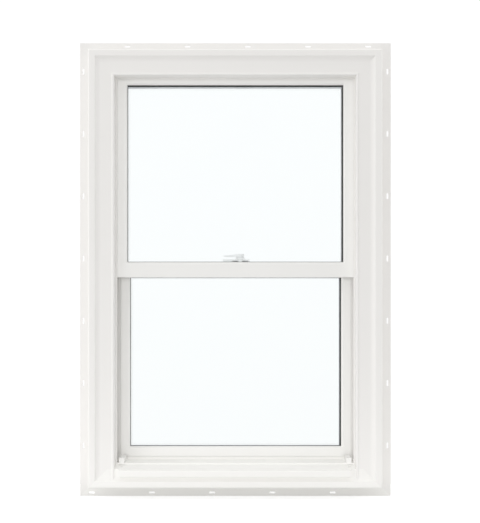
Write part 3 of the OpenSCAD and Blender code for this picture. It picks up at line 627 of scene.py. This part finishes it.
@dataclass
class BrushStrip:
    """A pile weather strip: a woven backing with rows of upright tufts."""

    dress: Dresser
    which: str
    outward: int
    width: float = 5.0 * MM
    backing: float = 0.6 * MM
    pitch: float = 1.4 * MM
    rows: int = 4
    stray: float = 0.15 * MM
    lean: float = 0.25 * MM
    shortest: float = 0.86
    seed: int = 7

    def tufts(self, low: Vector, high: Vector, draw: np.random.Generator) -> list[MeshParts]:
        """Lay tapered tufts over the backing.

        Args:
            low: the strip's lowest corner.
            high: the strip's highest corner.
            draw: the source of the tufts' small differences.

        Returns:
            Vertices and faces of each tuft.
        """
        made = []
        base, tip = (low.y, high.y) if self.outward > 0 else (high.y, low.y)
        root = base + self.outward * self.backing * 0.5
        count = int((high.z - low.z) / self.pitch)
        step = (high.x - low.x) / (self.rows + 1)
        wide, deep = 0.42 * step, 0.46 * self.pitch
        corners = [(-wide, -deep), (wide, -deep), (wide, deep), (-wide, deep)]
        faces = [(0, 1, 2, 3), (4, 7, 6, 5)]
        faces += [(k, (k + 1) % 4, 4 + (k + 1) % 4, 4 + k) for k in range(4)]
        for i in range(count):
            z = low.z + (i + 0.5) * self.pitch
            for row in range(self.rows):
                x = low.x + (row + 1) * step + draw.uniform(-self.stray, self.stray)
                lean = draw.uniform(-self.lean, self.lean)
                end = root + (tip - root) * draw.uniform(self.shortest, 1.0)
                foot = [(x + a, root, z + c) for a, c in corners]
                head = [(x + lean + 0.45 * a, end, z + 0.7 * c) for a, c in corners]
                made.append((foot + head, faces))
        return made

    def build(self) -> None:
        """Make a strip on both sides and let it stand for the plain blocks."""
        low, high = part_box(f"{self.which}_pile_strips")
        back = low.y if self.outward > 0 else high.y - self.backing
        parts = []
        draw = np.random.default_rng(self.seed)
        for side in Side:
            x = low.x if side is Side.LEFT else high.x - self.width
            a, b = Vector((x, low.y, low.z)), Vector((x + self.width, high.y, high.z))
            parts.append(box_mesh((a.x, back, a.z), (b.x, back + self.backing, b.z)))
            parts.extend(self.tufts(a, b, draw))
        piece = mesh_object(f"{self.which}_brush_strips", *merge(parts))
        self.dress.paint(piece, PILE)
        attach(piece, f"{self.which}_sash")
        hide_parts(f"{self.which}_pile_strips")
        LOG.info("made %s", piece.name)


@dataclass
class Balance:
    """One constant-force balance: shoe, ribbon, wound spring and housing."""

    dress: Dresser
    which: str
    side: Side
    turns: int = 9
    steps: int = 40
    strip: float = 0.25 * MM
    drum: float = 0.52
    ribbon_rows: int = 24

    @property
    def stem(self) -> str:
        """How the CAD nodes of this balance begin."""
        return f"{self.which}_{self.side.word}"

    def wound_spring(self) -> bpy.types.Object:
        """Wind the spring strip from its drum out to its full radius."""
        low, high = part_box(f"{self.stem}_coil")
        middle = (low + high) / 2
        outer = (high.x - low.x) / 2
        inner = outer * self.drum
        count = self.turns * self.steps
        verts: list[tuple[float, ...]] = []
        for i in range(count + 1):
            share = i / count
            angle = self.side.value * (share * self.turns * math.tau)
            r = inner + (outer - inner - self.strip) * share
            for radius in (r, r + self.strip):
                x, z = radius * math.cos(angle), radius * math.sin(angle)
                verts += [(middle.x + x, y, middle.z + z) for y in (low.y, high.y)]
        faces = [(0, 1, 3, 2), tuple(4 * count + k for k in (0, 2, 3, 1))]
        for i in range(count):
            a, b = 4 * i, 4 * (i + 1)
            for p, q in ((0, 1), (1, 3), (3, 2), (2, 0)):
                faces.append((a + p, a + q, b + q, b + p))
        piece = mesh_object(f"{self.stem}_wound_spring", verts, faces)
        piece.data.polygons.foreach_set("use_smooth", [True] * len(piece.data.polygons))
        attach(piece, "frame")
        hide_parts(f"{self.stem}_coil")
        return piece

    def drawn_ribbon(self) -> bpy.types.Object:
        """Make the straight strip that pays out of the coil as the sash moves."""
        low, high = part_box(f"{self.stem}_ribbon")
        rows = self.ribbon_rows
        levels = [low.z + (high.z - low.z) * i / rows for i in range(rows + 1)]
        corners = [(low.x, low.y), (high.x, low.y), (high.x, high.y), (low.x, high.y)]
        verts = [(x, y, z) for z in levels for x, y in corners]
        faces = [(0, 1, 2, 3), tuple(4 * rows + k for k in (3, 2, 1, 0))]
        for a in range(0, 4 * rows, 4):
            faces += [(a + k, a + (k + 1) % 4, a + 4 + (k + 1) % 4, a + 4 + k) for k in range(4)]
        piece = mesh_object(f"{self.stem}_drawn_ribbon", verts, faces)
        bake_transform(piece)
        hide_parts(f"{self.stem}_ribbon")
        return piece

    def build(self) -> None:
        """Make the spring and ribbon and dress the shoe and housing."""
        for piece in (self.wound_spring(), self.drawn_ribbon()):
            self.dress.paint(piece, SPRING)
            LOG.info("made %s", piece.name)
        self.dress.node(f"{self.stem}_shoe", NYLON)
        self.dress.node(f"{self.stem}_coil_box", NYLON)


@dataclass
class TiltLatch:
    """One spring latch in a sash's rail, with its bezel and a ridged thumb piece."""

    dress: Dresser
    which: str
    side: Side
    ridges: int = 6
    first: float = 4.5 * MM
    pitch: float = 2.4 * MM
    ridge_w: float = 1.0 * MM
    ridge_h: float = 0.6 * MM
    root: float = 0.1 * MM
    thumb_w: float = 6.4 * MM

    def build(self) -> None:
        """Dress the bolt and bezel and put the ridges on the thumb piece."""
        stem = f"{self.which}_{self.side.word}_latch"
        self.dress.node(stem, ACETAL, Run.X)
        self.dress.node(f"{stem}_bezel", ACETAL, Run.X)
        low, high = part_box(stem)
        top = high.z
        middle_y = (low.y + high.y) / 2
        inner = high.x if self.side is Side.LEFT else low.x
        parts = []
        for i in range(self.ridges):
            x = inner + self.side.value * (self.first + i * self.pitch)
            verts, faces = box_mesh(
                (x - self.ridge_w / 2, middle_y - self.thumb_w / 2, top - self.root),
                (x + self.ridge_w / 2, middle_y + self.thumb_w / 2, top + self.ridge_h),
            )
            crown = [(x + (a - x) * 0.45 if c > top else a, b, c) for a, b, c in verts]
            parts.append((crown, faces))
        piece = mesh_object(f"{stem}_ridges", *merge(parts))
        self.dress.paint(piece, ACETAL, Run.X)
        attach(piece, stem)
        LOG.info("made %s", piece.name)


@dataclass
class Screw:
    """A pan-head screw with a cross recess."""

    shank: float = 1.5 * MM
    point: float = 1.5 * MM
    head: float = 2.7 * MM
    head_h: float = 1.6 * MM
    recess: float = 1.5 * MM
    recess_w: float = 0.36 * MM
    recess_d: float = 1.0 * MM
    clear: float = 0.5 * MM
    sides: int = 32

    def turned(self, length: float) -> MeshParts:
        """Turn the screw's profile round its axis, the face under the head lying at zero.

        Args:
            length: the shank's length.

        Returns:
            Vertices and faces.
        """
        profile = [
            (self.shank * 0.55, -length), (self.shank, self.point - length), (self.shank, 0.0),
            (self.head, 0.0), (self.head, self.head_h * 0.45),
            (self.head * 0.86, self.head_h * 0.8), (self.head * 0.55, self.head_h * 0.97),
        ]
        count = self.sides
        angles = [math.tau * k / count for k in range(count)]
        spokes = [(math.cos(turn), math.sin(turn)) for turn in angles]
        verts = [(0.0, 0.0, -length)]
        verts += [(r * c, r * d, z) for r, z in profile for c, d in spokes]
        verts.append((0.0, 0.0, self.head_h))
        pairs = [(k, (k + 1) % count) for k in range(count)]
        faces = [(0, 1 + b, 1 + a) for a, b in pairs]
        for ring in range(len(profile) - 1):
            low, high = 1 + ring * count, 1 + (ring + 1) * count
            faces += [(low + a, low + b, high + b, high + a) for a, b in pairs]
        last = 1 + (len(profile) - 1) * count
        faces += [(last + a, last + b, len(verts) - 1) for a, b in pairs]
        return verts, faces

    def mesh(self, name: str, seat: Vector, into: Vector, length: float) -> bpy.types.Object:
        """Make one screw.

        Args:
            name: the piece's name.
            seat: the middle of the face under the head.
            into: the direction the shank points.
            length: the shank's length from the seat.

        Returns:
            The screw with its recess cut.
        """
        piece = mesh_object(name, *self.turned(length))
        foot, top = self.head_h - self.recess_d, self.head_h + self.clear
        for x, y in ((self.recess, self.recess_w), (self.recess_w, self.recess)):
            cutter = mesh_object("cutter", *box_mesh((-x, -y, foot), (x, y, top)))
            cut = piece.modifiers.new("recess", "BOOLEAN")
            cut.operation, cut.object, cut.solver = "DIFFERENCE", cutter, "EXACT"
            depsgraph = bpy.context.evaluated_depsgraph_get()
            made = bpy.data.meshes.new_from_object(piece.evaluated_get(depsgraph))
            piece.modifiers.clear()
            piece.data = made
            bpy.data.objects.remove(cutter)
        turn = (-into).to_track_quat("Z", "Y").to_matrix().to_4x4()
        piece.data.transform(Matrix.Translation(seat) @ turn)
        return piece


@dataclass
class ScrewPair:
    """The two upright screws of one CAD node, each made with its recess."""

    dress: Dresser
    node: str
    body: str

    def build(self) -> None:
        """Make the screws as one piece and let it stand for the plain ones."""
        screw = Screw()
        low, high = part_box(self.node)
        y, z = (low.y + high.y) / 2, high.z - screw.head_h
        down = Vector((0, 0, -1))
        joined = bmesh.new()
        for i, x in enumerate((low.x + screw.head, high.x - screw.head)):
            part = screw.mesh(f"{self.node}_{i}", Vector((x, y, z)), down, z - low.z)
            joined.from_mesh(part.data)
            bpy.data.objects.remove(part)
        mesh = bpy.data.meshes.new(f"{self.node}_cross_recess")
        joined.to_mesh(mesh)
        joined.free()
        piece = bpy.data.objects.new(f"{self.node}_cross_recess", mesh)
        bpy.context.scene.collection.objects.link(piece)
        self.dress.paint(piece, PLATED)
        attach(piece, self.body)
        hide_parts(self.node)
        LOG.info("made %s", piece.name)


@dataclass
class CamLock:
    """The cam lock on the meeting rail and its keeper on the check rail."""

    dress: Dresser

    def build(self) -> None:
        """Dress the castings, put their screws in and dress the balances' screws to match."""
        for name in ("lock_housing", "lock_lever", "keeper"):
            self.dress.node(name, LOCK_COAT, Run.X)
        ScrewPair(self.dress, "lock_screws", "lower_sash").build()
        ScrewPair(self.dress, "keeper_screws", "upper_sash").build()
        self.dress.node("coil_box_screws", PLATED, Run.X)


# ---------- studio ----------


@dataclass
class Studio:
    """A lit pale floor, soft light all round and the camera."""

    floor_level: float
    floor_low: tuple[float, float] = (-0.75, -0.335)
    floor_high: tuple[float, float] = (0.75, 0.1)
    eye: Vector = field(default_factory=lambda: Vector((0.031, -1.45, 0.392)))
    span: float = 1.124
    middle: tuple[float, float] = (0.0098, 0.4962)
    sensor: float = 36.0
    lobe: Vector = field(default_factory=lambda: Vector((-0.30, -0.70, 0.65)))
    dim: float = 0.25
    bright: float = 0.72
    ring: float = 1.5
    rear: float = 0.9
    backdrop: float = 1.03
    key_place: Vector = field(default_factory=lambda: Vector((-1.7, -1.5, 0.3)))
    key_aim: Vector = field(default_factory=lambda: Vector((0.0, 0.0, 0.48)))
    key_side: float = 1.0
    key_watts: float = 5.5
    fill_along: Vector = field(default_factory=lambda: Vector((0.03, 1.0, -0.03)))
    fill_light: float = 0.85
    fill_spread: float = math.radians(20)
    gamma: float = 1.2

    def floor(self) -> None:
        """Lay the lit opal sheet that the window stands on."""
        (x0, y0), (x1, y1) = self.floor_low, self.floor_high
        verts = [(x, y, self.floor_level) for x, y in ((x0, y0), (x1, y0), (x1, y1), (x0, y1))]
        piece = mesh_object("floor", verts, [(0, 1, 2, 3)])
        piece.data.materials.append(OPAL.material())
        piece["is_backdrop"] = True

    def sky(self) -> None:
        """Light the room: soft and brighter up on the left, with a bright ring at the sides."""
        world = bpy.data.worlds.new("studio")
        bpy.context.scene.world = world
        world.use_nodes = True
        tree = world.node_tree
        tree.nodes.clear()
        aim = add_node(tree, "ShaderNodeTexCoord").outputs["Generated"]
        lobe = {0: aim, 1: self.lobe.normalized()}
        likeness = add_node(tree, "ShaderNodeVectorMath", lobe, operation="DOT_PRODUCT")
        toward = likeness.outputs["Value"]
        depth = add_node(tree, "ShaderNodeSeparateXYZ", {0: aim}).outputs[1]
        level = ramp(tree, toward, (0.2, 1.0), self.dim, self.bright, soft=True)
        level = ramp(tree, depth, (-0.45, -0.15), level, self.ring, soft=True)
        level = ramp(tree, depth, (0.1, 0.45), level, self.rear, soft=True)
        level = ramp(tree, seen_by_eye(tree), (0.0, 1.0), level, self.backdrop)
        white = {"Color": (1.0, 1.0, 1.0, 1.0), "Strength": level}
        back = add_node(tree, "ShaderNodeBackground", white)
        add_node(tree, "ShaderNodeOutputWorld", {"Surface": back.outputs[0]})

    def hang(self, data: bpy.types.Light, place: Vector, along: Vector) -> bpy.types.Object:
        """Hang a lamp.

        Args:
            data: the lamp's light.
            place: where it hangs.
            along: the direction its light travels in.

        Returns:
            The lamp in the scene.
        """
        lamp = bpy.data.objects.new(data.name, data)
        lamp.location = place
        lamp.rotation_mode = "QUATERNION"
        lamp.rotation_quaternion = along.to_track_quat("-Z", "Y")
        bpy.context.scene.collection.objects.link(lamp)
        return lamp

    def lamps(self) -> None:
        """Hang a square softbox on the left and a far, broad panel that flattens the recesses."""
        key = bpy.data.lights.new("key", "AREA")
        key.size, key.energy = self.key_side, self.key_watts
        self.hang(key, self.key_place, self.key_aim - self.key_place)
        fill = bpy.data.lights.new("fill", "SUN")
        fill.energy, fill.angle = self.fill_light, self.fill_spread
        panel = self.hang(fill, Vector(), self.fill_along)
        panel.visible_glossy = panel.visible_transmission = False

    def camera(self) -> None:
        """Set up the camera straight before the window, low and a little to the right."""
        data = bpy.data.cameras.new("camera")
        data.sensor_width = self.sensor
        data.lens = self.sensor * -self.eye.y / self.span
        data.shift_x = (self.middle[0] - self.eye.x) / self.span
        data.shift_y = (self.middle[1] - self.eye.z) / self.span
        data.clip_start, data.clip_end = 0.05, 50.0
        camera = bpy.data.objects.new("camera", data)
        camera.location = self.eye
        camera.rotation_euler = (math.pi / 2, 0.0, 0.0)
        bpy.context.scene.collection.objects.link(camera)
        bpy.context.scene.camera = camera

    def build(self) -> None:
        """Set everything up."""
        bpy.context.scene.view_settings.view_transform = "Standard"
        bpy.context.scene.view_settings.gamma = self.gamma
        self.floor()
        self.sky()
        self.lamps()
        self.camera()
        LOG.info("studio ready")


def main() -> None:
    """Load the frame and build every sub-assembly."""
    logging.basicConfig(level=logging.INFO, format="%(message)s")
    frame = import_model()
    dress = Dresser(frame["nodes"])
    OuterFrame(dress).build()
    for which, outward in (("upper", 1), ("lower", -1)):
        Sash(dress, which).build()
        BrushStrip(dress, which, outward).build()
        for side in Side:
            Balance(dress, which, side).build()
            TiltLatch(dress, which, side).build()
    CamLock(dress).build()
    low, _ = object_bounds()
    Studio(floor_level=low.z - 0.5 * MM).build()


if __name__ == "__main__":
    main()
